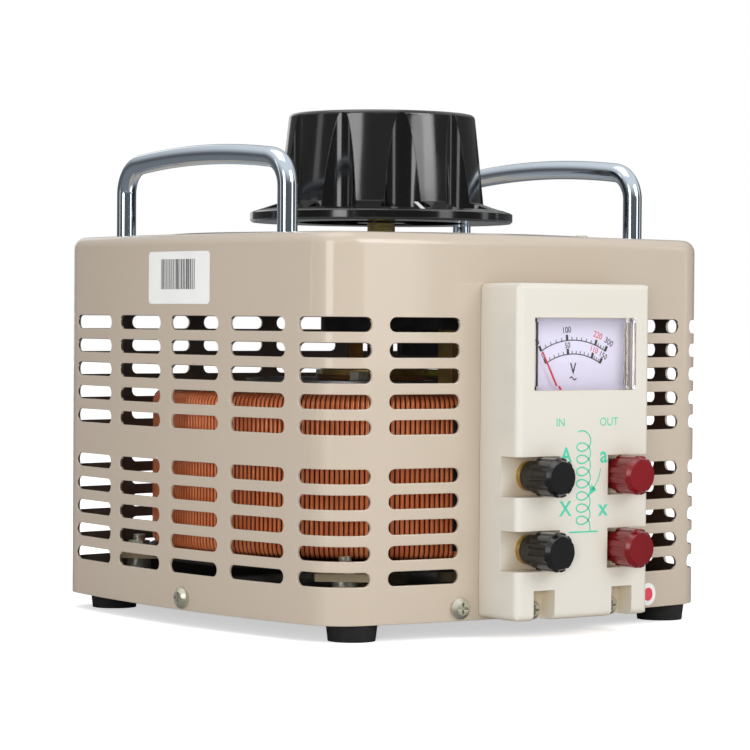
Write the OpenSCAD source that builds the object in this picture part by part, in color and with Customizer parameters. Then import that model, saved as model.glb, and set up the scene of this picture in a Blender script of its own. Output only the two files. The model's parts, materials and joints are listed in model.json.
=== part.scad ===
// Bench variac: an autotransformer with a hand knob, in a slotted sheet-steel case.
// Units are millimetres. +Z is up, the terminal panel faces -Y and +X is the panel's right.
// The origin is on the knob's axis, at the level of the feet's undersides.

/* [Case] */
// Width and depth of the case at the middle of its sides
case_w = 208; // [200:1:216]
// Height of the case above the feet
case_h = 150; // [146:1:156]
// Plan radius of the case's upright corners
corner_r = 18; // [15:1:20]
// Thickness of the cover's sheet steel
wall = 1.2; // [0.8:0.1:1.5]
// Radius of the rolled edge round the top
top_edge_r = 5; // [3:0.5:6]
// How far the feet stand out below the case
foot_h = 6.5; // [5:0.5:9]

/* [Ventilation slots] */
// Columns of slots round the whole case
slot_columns = 19; // [17:1:19]
// Length of a slot along the wall
slot_len = 32; // [26:1:33]
// Height of a slot
slot_h = 5.5; // [4:0.5:6]
// Distance from one row to the next
slot_pitch = 9.8; // [8:0.1:10]
// Rows in each of the two groups
slot_rows = 5; // [4:1:5]
// How far round the case the first column is from the front-left corner's middle
slot_start = -1.5; // [-4:0.1:0]
// Lowest row of each group, above the case's bottom edge
slot_group_z = [17.5, 75.3];

/* [Transformer] */
// Outer radius over the winding
winding_r = 95; // [92:0.5:96]
// Inner radius of the winding
winding_bore_r = 47.4; // [46:0.1:50]
// Level of the winding's underside
winding_z = 28.5; // [28:0.5:30]
// Height over the winding
winding_h = 65; // [60:1:66]
// Diameter of the enamelled wire
wire_d = 1.8; // [1.2:0.1:2]

/* [Rotor] */
// Angle the brush sweeps, from 0 V to full voltage
sweep = 320; // [300:1:330]
// World angle of the brush arm at 0 V
arm_angle = 258; // [250:1:262]
// Radius at which the brush runs on the winding
brush_r = 69; // [66:0.5:72]
// Radius of the shaft
shaft_r = 4; // [3.5:0.1:4.5]

/* [Knob] */
// Radius of the knob's skirt
skirt_r = 55; // [50:1:58]
// Radius at the foot of the grip
grip_r = 43; // [41:0.5:45]
// Radius at the top of the grip
grip_top_r = 39; // [38.8:0.1:40.5]
// Level of the skirt's underside
knob_z = 163.3; // [161:0.1:165]
// Height of the knob
knob_h = 45.2; // [42:0.1:48]
// Number of finger flutes
flutes = 10; // [8:1:12]

/* [Handles] */
// Distance from the axis to each handle
handle_x = 90; // [88:0.5:92]
// Half the distance between a handle's legs
handle_leg = 57; // [50:1:60]
// Radius of the handle rod
rod_r = 4; // [3:0.5:5]
// Level of the middle of the rod at the top of its arch
handle_top = 188.5; // [180:0.5:195]

/* [Panel] */
// Sideways place of the panel's centre line
panel_x = 3.5; // [0:0.5:4]
// Width of the panel
panel_w = 68; // [66:1:72]
// Level of the panel's lower edge
panel_z = 7.5; // [7:0.5:9]
// Height of the panel
panel_h = 130; // [128:1:132]
// Distance from the axis to the panel's front face
panel_front = 126; // [125:0.5:128]
// Half the sideways distance between the two columns of terminals
terminal_dx = 20.5; // [19:0.5:21]
// Levels of the two rows of terminals
terminal_z = [62.9, 34.3];

/* [Hidden] */
$fn = 48;

fit = 0.03;             // radial clearance between pieces fixed to each other
run = 0.05;             // radial clearance between pieces that turn or slide
fine_fn = 96;
side_fn = 720;          // the sides are short pieces of very large circles
front = 270;            // world angle of the front
through = 1;            // how far a cutter runs past the solid that it cuts

// Case outline: four large arcs joined by corner arcs that they touch without a kink.
// The arcs' centres are the corners of 13-84-85 triangles, so every joint is at a round
// number and a corner's arc starts exactly where a side's arc stops.
triangle = round(1000 * (case_w / 2 - corner_r) / 14) / 1000;
half_w = 14 * triangle + corner_r;
side_r = 85 * triangle + corner_r;
side_centre = 71 * triangle;
corner_c = 13 * triangle;
side_half_angle = atan(13 / 84);
corner_half_angle = 45 - side_half_angle;
side_len = side_r * side_half_angle * PI / 90;
corner_len = corner_r * corner_half_angle * PI / 90;
quarter_len = side_len + corner_len;
case_top = foot_h + case_h;
cover_gap = 0.3;        // base plate to cover, all round

// Base plate and its upturned tabs
plate_t = 2;
plate_top = foot_h + plate_t;
tab_top = 19;
cover_screw_z = 11.5;
cover_screw_dx = 43;
side_screw_dy = 7;      // the side screws are this far in front of the axis
screw_r = 2;
foot_c = 80;
front_foot_c = 87;      // the front feet stand further out than the others
foot_r = 10;
foot_tip_r = 9.2;

// Stack from the base plate up to the winding's clamp
stud_at = 102.5;
stud_r = 2.5;
frame_z = 21.5;
frame_t = 3;
frame_top = frame_z + frame_t;
boss_z = 12.5;
bolt_at = 32;
bolt_angles = [98, 218, 338];
bush_r = 7;
winding_top = winding_z + winding_h;
cap_gap = 0.1;          // end caps to winding
end_cap_t = 1.4;
end_cap_lip = 12;
clamp_z = winding_top + 1.5;
clamp_t = 3;
clamp_top = clamp_z + clamp_t;
clamp_r = 56;
ring_z = clamp_top + 1.8;
ring_top = ring_z + 2.2;
gap_mid = arm_angle + (360 - sweep) / 2;     // middle of the sector the brush never enters
winding_from = gap_mid + 18;
winding_span = 324;
tape_span = 10;
tape_t = 0.5;

// Rotor levels
arm_z = 119;
arm_t = 6;
hub_z = 117.5;
hub_top = 133;
hub_r = 25;
sleeve_r = 5.5;
pin_at = 45;
pin_r = 3;
holder_w = 9;           // across the arm
holder_l = 12;          // along the arm
holder_wall = 1;
holder_z = 97;
holder_top = 131;
brush_w = 7;
brush_l = 10;
brush_top = 114;
spring_coils = 6;
spring_wire_r = 0.45;
spring_r = 2.8;

// Panel and meter
panel_back = half_w + 0.1;
panel_wall = 2.5;
panel_edge_r = 2.5;
notch_depth = 10;
notch_h = 15.5;
notch_floor = panel_front - notch_depth;
foot_notch_w = 10.6;
foot_notch_dx = 20;
foot_notch_depth = 8;
foot_notch_top = 19;
panel_screw_z = 11;
top_boss_z = 132;
top_screw_at = 24;      // behind the panel's front face, just inside the case's wall
window_w = 51.7;
window_z = [96.1, 124.2];
window_h = window_z[1] - window_z[0];
cover_wall = 1.5;
meter_w = 56;
meter_z = [74.7, 127.3];
scale_y = 117.5;        // back of the scale plate, in front of the axis
scale_t = 0.6;
pivot_z = 79.5;
needle_len = 36;
needle_rest = 29;       // the needle leans this far to the left at 0 V

// Terminals
stud_m = 3;
collar_t = 2;
washer_t = 0.6;
cap_ribs = 12;
terminal_tip = 137;

// ---- Shapes shared by several pieces ----

module turned(r_out, r_in, z0, z1) {
    translate([0, 0, z0]) difference() {
        cylinder(h = z1 - z0, r = r_out);
        translate([0, 0, -through]) cylinder(h = z1 - z0 + 2 * through, r = r_in);
    }
}

module at(radius, angle) {
    rotate([0, 0, angle]) translate([radius, 0, 0]) children();
}

// Puts a shape whose +Z points out of the case onto a side wall, at a level.
// side 0 is the front, 1 the right, 2 the back and 3 the left; along is in millimetres.
module on_side(side, along, level) {
    rotate([0, 0, 90 * side]) translate([0, side_centre, level])
        rotate([0, 0, asin(along / side_r)]) translate([0, -side_r, 0]) rotate([90, 0, 0])
            children();
}

// Pan-head screw: the head stands on z = 0 and the shank points down
module pan_screw(head_r, head_h, shank_r, shank_l) {
    slot_w = head_r * 0.22;
    difference() {
        union() {
            cylinder(h = head_h * 0.45, r = head_r);
            translate([0, 0, head_h * 0.45])
                cylinder(h = head_h * 0.55, r1 = head_r, r2 = head_r * 0.62);
            translate([0, 0, -shank_l]) cylinder(h = shank_l, r = shank_r);
        }
        for (turn = [0, 90]) rotate([0, 0, turn])
            translate([-head_r * 0.55, -slot_w / 2, head_h * 0.5])
                cube([head_r * 1.1, slot_w, head_h]);
    }
}

module hex_nut(across, height, bore_r) {
    difference() {
        cylinder(h = height, d = across / cos(30), $fn = 6);
        translate([0, 0, -through]) cylinder(h = height + 2 * through, r = bore_r);
    }
}

// Rounded bar profile in the plane of a rotate_extrude
module rounded_profile(r0, r1, z0, z1, edge) {
    for (r = [r0 + edge, r1 - edge]) for (z = [z0 + edge, z1 - edge])
        translate([r, z]) circle(r = edge);
    translate([r0 + edge, z0]) square([r1 - r0 - 2 * edge, z1 - z0]);
    translate([r0, z0 + edge]) square([r1 - r0, z1 - z0 - 2 * edge]);
}

// Rod swept along a path that never runs along X: rings of points square to the path
module swept_rod(path, radius, sides) {
    last = len(path) - 1;
    points = [for (i = [0 : last])
        let (step = path[min(i + 1, last)] - path[max(i - 1, 0)],
            side = cross(step, [1, 0, 0]),
            across = side / norm(side),
            up = cross(step, across) / norm(step))
        for (k = [0 : sides - 1])
            path[i] + radius * (cos(k * 360 / sides) * across + sin(k * 360 / sides) * up)];
    walls = [for (i = [0 : last - 1]) for (k = [0 : sides - 1])
        let (here = i * sides, next = (k + 1) % sides)
            [here + next, here + k, here + sides + k, here + sides + next]];
    ends = [[for (k = [0 : sides - 1]) k],
        [for (k = [sides - 1 : -1 : 0]) last * sides + k]];
    polyhedron(points, concat(ends, walls));
}

// Smooth curve through a list of points, in a number of steps between each pair
function smooth(p, steps) = concat(
    [for (i = [0 : len(p) - 2]) for (j = [0 : steps - 1])
        let (t = j / steps, a = p[max(i - 1, 0)], b = p[i], c = p[i + 1],
            d = p[min(i + 2, len(p) - 1)])
            b + t * (c - a) / 2 + t * t * (a - 2.5 * b + 2 * c - d / 2)
                + t * t * t * (1.5 * (b - c) + (d - a) / 2)],
    [p[len(p) - 1]]);

module wire(points, radius) {
    swept_rod(smooth(points, 5), radius, 12);
}

// ---- Case ----

// Radial slice through the wall, its rolled top edge and a strip of the top
module cover_slice(outer, inner) {
    module filled(r, top, edge) {
        translate([inner, 0]) square([r - inner - edge, top]);
        translate([inner, 0]) square([r - inner, top - edge]);
        translate([r - edge, top - edge]) circle(r = edge, $fn = fine_fn);
    }
    difference() {
        filled(outer, case_h, top_edge_r);
        translate([0, -through])
            filled(outer - wall, case_h - wall + through, top_edge_r - wall);
    }
}

// Sectors of the plan that belong to the front side's arc and to the front-left corner's arc
module side_sector() polygon([[0, side_centre], [-corner_c - 6.5, -corner_c - 42],
    [corner_c + 6.5, -corner_c - 42]]);
module corner_sector() translate([-corner_c, -corner_c])
    polygon([[0, 0], [-6.5, -42], [-42, -42], [-42, -6.5]]);

// The area shared by the four sides' large circles
module four_sides(inset) intersection_for (side = [0 : 3]) rotate(90 * side)
    translate([0, side_centre]) circle(r = side_r - inset, $fn = side_fn);

// Plan of the case drawn in by a distance
module case_plan(inset) {
    difference() {
        four_sides(inset);
        for (side = [0 : 3]) rotate(90 * side) corner_sector();
    }
    for (side = [0 : 3]) rotate(90 * side) intersection() {
        corner_sector();
        translate([-corner_c, -corner_c]) circle(r = corner_r - inset, $fn = fine_fn);
    }
}

// Angle and place on the wall at a distance along it from the front-left corner's middle
function wall_angle(u) =
    u < corner_len / 2 ? 225 + u / corner_r * 180 / PI :
    u < corner_len / 2 + side_len ?
        front - side_half_angle + (u - corner_len / 2) / side_r * 180 / PI :
        315 + (u - quarter_len) / corner_r * 180 / PI;
function heading(angle) = [cos(angle), sin(angle)];
function wall_point(u) =
    u < corner_len / 2 ? [-corner_c, -corner_c] + corner_r * heading(wall_angle(u)) :
    u < corner_len / 2 + side_len ?
        [0, side_centre] + side_r * heading(wall_angle(u)) :
        [corner_c, -corner_c] + corner_r * heading(wall_angle(u));

// Length of a slot seen square to the wall at its middle: shorter where it wraps a corner
function near_corner(u) = min(u, quarter_len - u);
function wrap(u) = max(0, corner_len / 2 + slot_len / 2 - near_corner(u));
function seen_len(u) = slot_len - wrap(u) * 0.16;

module slot_cutter(u, level) {
    place = wall_point(u);
    reach = seen_len(u) / 2 - slot_h / 2;
    translate([place[0], place[1], level]) rotate([90, 0, wall_angle(u) - front])
        translate([0, 0, -9]) linear_extrude(12) {
            square([2 * reach, slot_h], center = true);
            for (end = [-1, 1]) translate([end * reach, 0]) circle(d = slot_h);
        }
}

// Slots all the way round, leaving out the two columns that the panel covers
module all_slots() {
    column_step = 4 * quarter_len / slot_columns;
    for (column = [0 : slot_columns - 1]) if (column != 2 && column != 3) {
        distance = slot_start + column * column_step;
        side = floor(distance / quarter_len);
        rotate([0, 0, 90 * side])
            for (base = slot_group_z) for (row = [0 : slot_rows - 1])
                slot_cutter(distance - side * quarter_len,
                    foot_h + base + row * slot_pitch);
    }
}

module case_cover() color("#c9bba9") difference() {
    translate([0, 0, foot_h]) {
        for (side = [0 : 3]) rotate([0, 0, 90 * side]) {
            intersection() {
                translate([0, side_centre, 0]) rotate_extrude($fn = side_fn)
                    cover_slice(side_r, side_r - corner_r);
                translate([0, 0, -through]) linear_extrude(case_h + 2 * through)
                    side_sector();
            }
            intersection() {
                translate([-corner_c, -corner_c, 0]) rotate_extrude($fn = fine_fn)
                    cover_slice(corner_r, 0);
                translate([0, 0, -through]) linear_extrude(case_h + 2 * through)
                    corner_sector();
            }
        }
        translate([0, 0, case_h - wall]) linear_extrude(wall)
            four_sides((corner_r + top_edge_r) / 2);
    }
    all_slots();
    // Shaft, handle and dial-screw holes in the top
    translate([0, 0, case_top - 3]) {
        cylinder(h = 6, r = 7);
        for (x = [-handle_x, handle_x]) for (y = [-handle_leg, handle_leg])
            translate([x, y, 0]) cylinder(h = 6, r = rod_r + 0.2);
        dial_screw_places() cylinder(h = 6, r = 1.5 + fit);
    }
    // Screw holes round the foot, and the opening for the leads behind the panel
    cover_screw_places() translate([0, 0, -5]) cylinder(h = 10, r = screw_r + 0.2);
    panel_screw_places() translate([0, 0, -5]) cylinder(h = 24, r = screw_r + 0.2);
    top_boss_places() translate([0, 0, 10]) cylinder(h = 14, r = screw_r + 0.2);
    translate([panel_x - 20, -half_w - 5, 30]) cube([40, 15, 86]);
}

module cover_screw_places() {
    for (dx = [-cover_screw_dx, cover_screw_dx]) {
        on_side(0, dx + panel_x, cover_screw_z) children();
        on_side(2, dx, cover_screw_z) children();
    }
    on_side(1, -side_screw_dy, cover_screw_z) children();
    on_side(3, side_screw_dy, cover_screw_z) children();
}

module cover_screws() color("silver") cover_screw_places()
    translate([0, 0, fit]) pan_screw(4.2, 2.6, screw_r, 8);

// Upturned tab that the side screws bite into; its outer face is just inside the edge
module base_tab(half_angle) {
    outer = side_r - wall - cover_gap - 0.1;
    translate([0, side_centre, foot_h + plate_t / 2]) rotate([0, 0, front - half_angle])
        rotate_extrude(angle = 2 * half_angle, $fn = side_fn)
            translate([outer - plate_t, 0]) square([plate_t, tab_top - foot_h - plate_t / 2]);
}

module base_plate() color("#4a4a48") difference() {
    union() {
        translate([0, 0, foot_h]) linear_extrude(plate_t) case_plan(wall + cover_gap);
        for (side = [0 : 3]) rotate([0, 0, 90 * side]) base_tab(side % 2 == 0 ? 5.7 : 1.5);
    }
    foot_places() cylinder(h = 20, r = 1.5 + fit);
    stud_places() cylinder(h = 20, r = stud_r + fit);
    cover_screw_places() translate([0, 0, -9]) cylinder(h = 10, r = screw_r + fit);
    panel_screw_places() translate([0, 0, -through]) cylinder(h = 12, r = screw_r + fit);
}

module foot_places() {
    for (x = [-foot_c, foot_c]) for (y = [-front_foot_c, foot_c])
        translate([x, y, 0]) children();
}

module rubber_feet() color("#1c1c1c") foot_places() difference() {
    cylinder(h = foot_h, r1 = foot_tip_r, r2 = foot_r);
    translate([0, 0, -through]) cylinder(h = 4 + through, r = 4.5);
    cylinder(h = foot_h + through, r = 1.5 + fit);
}

module foot_screws() color("silver") foot_places()
    translate([0, 0, 4]) mirror([0, 0, 1]) pan_screw(3.4, 2.2, 1.5, 8);

module dial_screw_places() {
    for (end = [-1, 1]) translate([57 * end, -62 * end, 0]) children();
}

module dial_plate() color("#d8d8d4") difference() {
    translate([0, 0, case_top]) cylinder(h = 0.8, r = 89, $fn = fine_fn);
    translate([0, 0, case_top - through]) cylinder(h = 4, r = 8);
    dial_screw_places() translate([0, 0, case_top - through]) cylinder(h = 4, r = 1.5 + fit);
}

module dial_screws() color("silver") dial_screw_places()
    translate([0, 0, case_top + 0.8]) pan_screw(3, 1.1, 1.5, 8);

// Carrying handle: two legs, two bends and a slightly arched bar between them
module handle() {
    bend_r = 12;
    bend = 84;
    arch = 90 - bend;
    half_chord = handle_leg - bend_r * (1 - cos(bend));
    arch_r = half_chord / sin(arch);
    leg_top = handle_top - arch_r * (1 - cos(arch)) - bend_r * sin(bend);
    function side_points(way) = concat([[0, way * handle_leg, case_top - 12]],
        [for (a = [0 : 10.5 : bend])
            [0, way * (handle_leg - bend_r * (1 - cos(a))), leg_top + bend_r * sin(a)]]);
    function backwards(list) = [for (i = [len(list) - 1 : -1 : 0]) list[i]];
    swept_rod(concat(side_points(1),
        [for (a = [arch - 2 : -2 : 2 - arch]) [0, arch_r * sin(a),
            handle_top - arch_r * (1 - cos(a))]],
        backwards(side_points(-1))), rod_r, 24);
}

module handle_left() color("#dfe3e6") translate([-handle_x, 0, 0]) handle();
module handle_right() color("#dfe3e6") translate([handle_x, 0, 0]) handle();

module handle_nuts() color("silver")
    for (x = [-handle_x, handle_x]) for (y = [-handle_leg, handle_leg])
        translate([x, y, case_top - wall - 6.5]) rotate([0, 0, 30])
            hex_nut(11, 6.5, rod_r + fit);

// ---- Transformer and its support ----

module stud_places() {
    for (angle = [45 : 90 : 315]) at(stud_at, angle) children();
}

module support_frame() color("#b9a98c") difference() {
    union() {
        translate([0, 0, frame_z]) linear_extrude(frame_t) {
            circle(r = 56, $fn = fine_fn);
            for (angle = [45, 135]) rotate(angle) square([2 * stud_at + 12, 22], center = true);
        }
        translate([0, 0, boss_z]) cylinder(h = frame_z - boss_z + 1, r = 13);
        for (angle = bolt_angles) at(bolt_at, angle)
            translate([0, 0, boss_z]) cylinder(h = frame_z - boss_z + 1, r = 6);
    }
    translate([0, 0, boss_z - through]) cylinder(h = 20, r = bush_r + fit);
    for (angle = bolt_angles) at(bolt_at, angle) cylinder(h = 40, r = stud_r + fit);
    stud_places() cylinder(h = 40, r = stud_r + fit);
}

module frame_spacers() color("silver") stud_places()
    turned(5, stud_r + fit, plate_top, frame_z);

module frame_studs() color("#c8c8c0") stud_places()
    translate([0, 0, foot_h]) cylinder(h = 24.5, r = stud_r);

module frame_nuts() color("silver") stud_places()
    translate([0, 0, frame_top]) hex_nut(8, 4, stud_r + fit);

module lower_insulator() color("#191919")
    turned(96.5, 44, frame_top, winding_z - fit, $fn = fine_fn);

module toroid_core() color("#56534f") turned(
    winding_r - wire_d - cap_gap - end_cap_t - fit,
    winding_bore_r + 2 * wire_d + cap_gap + end_cap_t + fit,
    winding_z + wire_d + cap_gap + end_cap_t, winding_top - wire_d - cap_gap - end_cap_t,
    $fn = fine_fn);

// Moulded rings that keep the wire off the core's edges
module core_end_caps() color("#2a211c") for (top = [0, 1])
    translate([0, 0, top * (2 * winding_z + winding_h)]) mirror([0, 0, top]) {
        low = winding_z + wire_d + cap_gap;
        outer = winding_r - wire_d - cap_gap;
        inner = winding_bore_r + 2 * wire_d + cap_gap;
        turned(outer, inner, low, low + end_cap_t, $fn = fine_fn);
        turned(outer, outer - end_cap_t, low, low + end_cap_lip, $fn = fine_fn);
        turned(inner + end_cap_t, inner, low, low + end_cap_lip, $fn = fine_fn);
    }

module winding() color("#b0502a") rotate([0, 0, winding_from])
    rotate_extrude(angle = winding_span, $fn = fine_fn) difference() {
        rounded_profile(winding_bore_r, winding_r, winding_z, winding_top, 3);
        translate([winding_bore_r + 2 * wire_d, winding_z + wire_d])
            square([winding_r - winding_bore_r - 3 * wire_d, winding_h - 2 * wire_d]);
    }

// Insulating tape over the first and last turns, on the outside of the ring
module end_tapes() color("#161616")
    for (start = [winding_from, winding_from + winding_span - tape_span])
        rotate([0, 0, start]) rotate_extrude(angle = tape_span, $fn = side_fn)
            translate([winding_r + fit, winding_z + 4]) square([tape_t, winding_h - 8]);

module clamp_insulator() color("#8a5a34") {
    turned(clamp_r + 2, winding_bore_r - 2.5, winding_top + fit, clamp_z, $fn = fine_fn);
    turned(winding_bore_r - 0.5, winding_bore_r - 2.5, winding_top - 10, winding_top + fit,
        $fn = fine_fn);
}

module clamp_disc() color("#9a9c9e") difference() {
    union() {
        translate([0, 0, clamp_z]) cylinder(h = clamp_t, r = clamp_r, $fn = fine_fn);
        translate([0, 0, clamp_z - 15]) cylinder(h = 15, r = 12);
    }
    translate([0, 0, clamp_z - 20]) cylinder(h = 40, r = bush_r + fit);
    for (angle = bolt_angles) at(bolt_at, angle)
        translate([0, 0, clamp_z - through]) cylinder(h = 6, r = stud_r + 0.1);
    for (angle = bolt_angles) for (turn = [45, 75]) at(34, angle + turn)
        translate([0, 0, clamp_z - through]) cylinder(h = 6, r = 6);
    at(pin_at, gap_mid) translate([0, 0, clamp_z - through]) cylinder(h = 6, r = pin_r + fit);
}

module clamp_bolts() color("silver") for (angle = bolt_angles) at(bolt_at, angle) {
    translate([0, 0, boss_z]) cylinder(h = clamp_top - boss_z, r = stud_r);
    translate([0, 0, clamp_top]) cylinder(h = 3.5, d = 8 / cos(30), $fn = 6);
}

module lower_bush() color("#b5884a") {
    turned(bush_r, shaft_r + run, boss_z, frame_top);
    turned(10, shaft_r + run, frame_top, frame_top + 1.5);
}

module upper_bush() color("#b5884a") {
    turned(bush_r, shaft_r + run, clamp_z - 13, clamp_top);
    turned(10, shaft_r + run, clamp_top, clamp_top + 1.5);
}

module slip_ring_seat() color("#5b3a22") turned(26.5, 14, clamp_top, ring_z);

module slip_ring() color("#c9a24e") turned(25, 16, ring_z, ring_top);

module stop_pin() color("silver") at(pin_at, gap_mid)
    translate([0, 0, clamp_z]) cylinder(h = 19, r = pin_r);

// ---- Rotor ----

module shaft() color("#a9acae") translate([0, 0, 9.5]) cylinder(h = 173.5, r = shaft_r);

module shaft_collar() color("#8d9093") turned(9, shaft_r + fit, frame_top + 1.5 + run, 33);

module shaft_sleeve() color("#1a1a1a")
    turned(sleeve_r, shaft_r + fit, clamp_top + 1.5 + run, 141);

// Die-cast arm with cooling ribs, and the lug that meets the stop pin at each end
module brush_arm() color("#232425") rotate([0, 0, arm_angle]) {
    // The lug and the pin together fill the sector that the brush never enters
    lug_half = 20 - (pin_r + 0.3) / pin_at * 180 / PI;
    arm_end = brush_r + holder_l / 2 + 3;
    difference() {
        union() {
            translate([0, 0, hub_z]) cylinder(h = hub_top - hub_z, r = hub_r);
            translate([-32, -11, arm_z]) cube([arm_end + 32, 22, arm_t]);
            for (y = [-11, -6.6, -2.2, 2.2, 6.6]) translate([-32, y + 0.1, arm_z + arm_t])
                cube([89, 2.2, 6]);
            intersection() {
                turned(pin_at + 5, pin_at - 5, hub_z - 9, arm_z);
                translate([0, 0, hub_z - 10]) linear_extrude(20) polygon([[0, 0],
                    60 * [cos(lug_half), -sin(lug_half)], 60 * [cos(lug_half), sin(lug_half)]]);
            }
        }
        translate([0, 0, hub_z - through]) cylinder(h = 20, r = sleeve_r + fit);
        translate([brush_r - holder_l / 2 - fit, -holder_w / 2 - fit, arm_z - through])
            cube([holder_l + 2 * fit, holder_w + 2 * fit, 20]);
    }
}

// Springy leaf that carries the brush current down to the slip ring
module wiper_leaf() color("#c58a4a") rotate([0, 0, arm_angle + 180]) {
    translate([9, -3, hub_z - 0.8]) cube([15, 6, 0.8]);
    translate([23.2, -3, ring_top + run]) cube([0.8, 6, hub_z - ring_top - run]);
    translate([17, -3, ring_top + run]) cube([7, 6, 0.8]);
}

module brush_holder() color("#b08d45") at(brush_r, arm_angle)
    translate([-holder_l / 2, -holder_w / 2, holder_z]) difference() {
        cube([holder_l, holder_w, holder_top - holder_z]);
        translate([holder_wall - run, holder_wall - run, -through])
            cube([brush_l + 2 * run, brush_w + 2 * run,
                holder_top - holder_z - 2 + through]);
    }

// Coil spring between the brush and the holder's cap: one torus for each turn, leaning
// on the next through short straight links
module brush_spring() color("#b8bcc0") at(brush_r, arm_angle) {
    low = brush_top + spring_wire_r + fit;
    high = holder_top - 2 - spring_wire_r - fit;
    step = (high - low) / spring_coils;
    for (coil = [0 : spring_coils]) translate([0, 0, low + coil * step])
        rotate_extrude() translate([spring_r, 0]) circle(r = spring_wire_r, $fn = 16);
    for (coil = [0 : spring_coils - 1]) rotate([0, 0, coil * 60])
        translate([spring_r, 0, low + coil * step])
            cylinder(h = step, r = spring_wire_r * 0.9, $fn = 16);
}

module carbon_brush() color("#3a3a3c") at(brush_r, arm_angle)
    translate([-brush_l / 2, -brush_w / 2, winding_top + run])
        cube([brush_l, brush_w, brush_top - winding_top - run]);

// ---- Knob ----

module knob() color("#101113") difference() {
    rim_z = knob_z + 4.3;
    foot_z = knob_z + 8;
    top = knob_z + knob_h;
    edge = 2;
    flute_r = 10;
    flute_depth = 4.2;      // at the foot of the grip
    rotate_extrude($fn = 180) {
        polygon([[0, knob_z], [skirt_r - 0.8, knob_z], [skirt_r, knob_z + 0.8],
            [skirt_r, rim_z - 0.6], [skirt_r - 0.9, rim_z], [grip_r, foot_z],
            [grip_top_r, top - edge], [0, top - edge]]);
        translate([0, top - edge - through]) square([grip_top_r - edge, edge + through]);
        translate([grip_top_r - edge, top - edge]) circle(r = edge);
    }
    // Finger flutes: upright hollows that run out where the grip narrows
    for (i = [0 : flutes - 1]) at(grip_r - flute_depth + flute_r, 28 + i * 360 / flutes)
        translate([0, 0, rim_z + 0.9]) cylinder(h = knob_h, r = flute_r, $fn = fine_fn);
    // Hollow underside round the boss that holds the insert
    translate([0, 0, knob_z - through]) difference() {
        cylinder(h = knob_h - 3, r = 35, $fn = fine_fn);
        cylinder(h = knob_h, r = 10);
    }
    translate([0, 0, knob_z - through]) cylinder(h = 26, r = 5.8 + fit);
}

module knob_insert() color("#b79a55") difference() {
    translate([0, 0, 158]) cylinder(h = 28, r = 5.8);
    translate([0, 0, 157]) cylinder(h = 27, r = shaft_r + fit);
    at(0, 70) translate([0, 0, 160.7]) rotate([0, 90, 0]) cylinder(h = 8, r = 1.5 + fit);
}

module knob_grub_screw() color("#606366") at(shaft_r + fit, 70)
    translate([0, 0, 160.7]) rotate([0, 90, 0]) cylinder(h = 1.7, r = 1.5);

// ---- Panel ----

// Block with every edge rounded, from its low corner to its high corner
module rounded_block(low, high, edge) {
    size = high - low;
    module slab(a, b, h) linear_extrude(h) translate([edge, edge])
        rounded_plan(a - 2 * edge, b - 2 * edge, edge);
    translate(low) intersection() {
        slab(size[0], size[1], size[2]);
        translate([0, size[1], 0]) rotate([90, 0, 0]) slab(size[0], size[2], size[1]);
        rotate([90, 0, 90]) slab(size[1], size[2], size[0]);
    }
}

module rounded_plan(a, b, edge) {
    for (x = [0, a]) for (y = [0, b]) translate([x, y]) circle(r = edge);
    translate([-edge, 0]) square([a + 2 * edge, b]);
    translate([0, -edge]) square([a, b + 2 * edge]);
}

module panel_screw_places() {
    for (dx = [-foot_notch_dx, foot_notch_dx])
        translate([panel_x + dx, -panel_front + foot_notch_depth, panel_screw_z])
            rotate([90, 0, 0]) translate([0, 0, -20]) children();
}

// Places of the two screws that hold the panel's top from inside the case; +Z points back
module top_boss_places() {
    for (dx = [-20, 20]) translate([panel_x + dx, -panel_front, top_boss_z])
        rotate([-90, 0, 0]) children();
}

// Everything that is cut from the panel for one terminal: side is -1 for left, 1 for right
module terminal_notch(side, level, grow) {
    inner = panel_x + side * (terminal_dx - 8.2);
    outer = panel_x + side * (panel_w / 2 + through);
    translate([min(inner, outer) - grow, -panel_front - through, level - notch_h / 2 - grow])
        cube([abs(outer - inner) + 2 * grow, notch_depth + through + grow,
            notch_h + 2 * grow]);
}

module foot_notch(dx, grow) {
    translate([panel_x + dx - foot_notch_w / 2 - grow, -panel_front - through,
            panel_z - through])
        cube([foot_notch_w + 2 * grow, foot_notch_depth + through + grow,
            foot_notch_top - panel_z + through + grow]);
}

module panel_housing() color("#f1ecdf") difference() {
    low = [panel_x - panel_w / 2, -panel_front, panel_z];
    high = [panel_x + panel_w / 2, -panel_back + 5, panel_z + panel_h];
    inset = [panel_wall, panel_wall, panel_wall];
    intersection() {
        rounded_block(low, high, panel_edge_r);
        union() {
            difference() {
                translate(low) cube(high - low);
                translate(low + inset) cube(high - low - 2 * inset + [0, 30, 0]);
            }
            for (side = [-1, 1]) for (level = terminal_z) terminal_notch(side, level, 2.5);
            for (dx = [-foot_notch_dx, foot_notch_dx]) foot_notch(dx, 2.5);
            top_boss_places() cylinder(h = 30, r = 4);
        }
    }
    for (side = [-1, 1]) for (level = terminal_z) terminal_notch(side, level, 0);
    for (dx = [-foot_notch_dx, foot_notch_dx]) foot_notch(dx, 0);
    translate([panel_x - window_w / 2, -panel_front - through, window_z[0]])
        cube([window_w, 5, window_h]);
    terminal_places() translate([0, 0, -20]) cylinder(h = 30, r = stud_m + fit);
    panel_screw_places() cylinder(h = 24, r = screw_r + fit);
    top_boss_places() translate([0, 0, 12]) cylinder(h = 24, r = screw_r + fit);
    translate([0, side_centre, 0])
        cylinder(h = 200, r = side_r + 0.1, $fn = side_fn);
}

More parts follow.
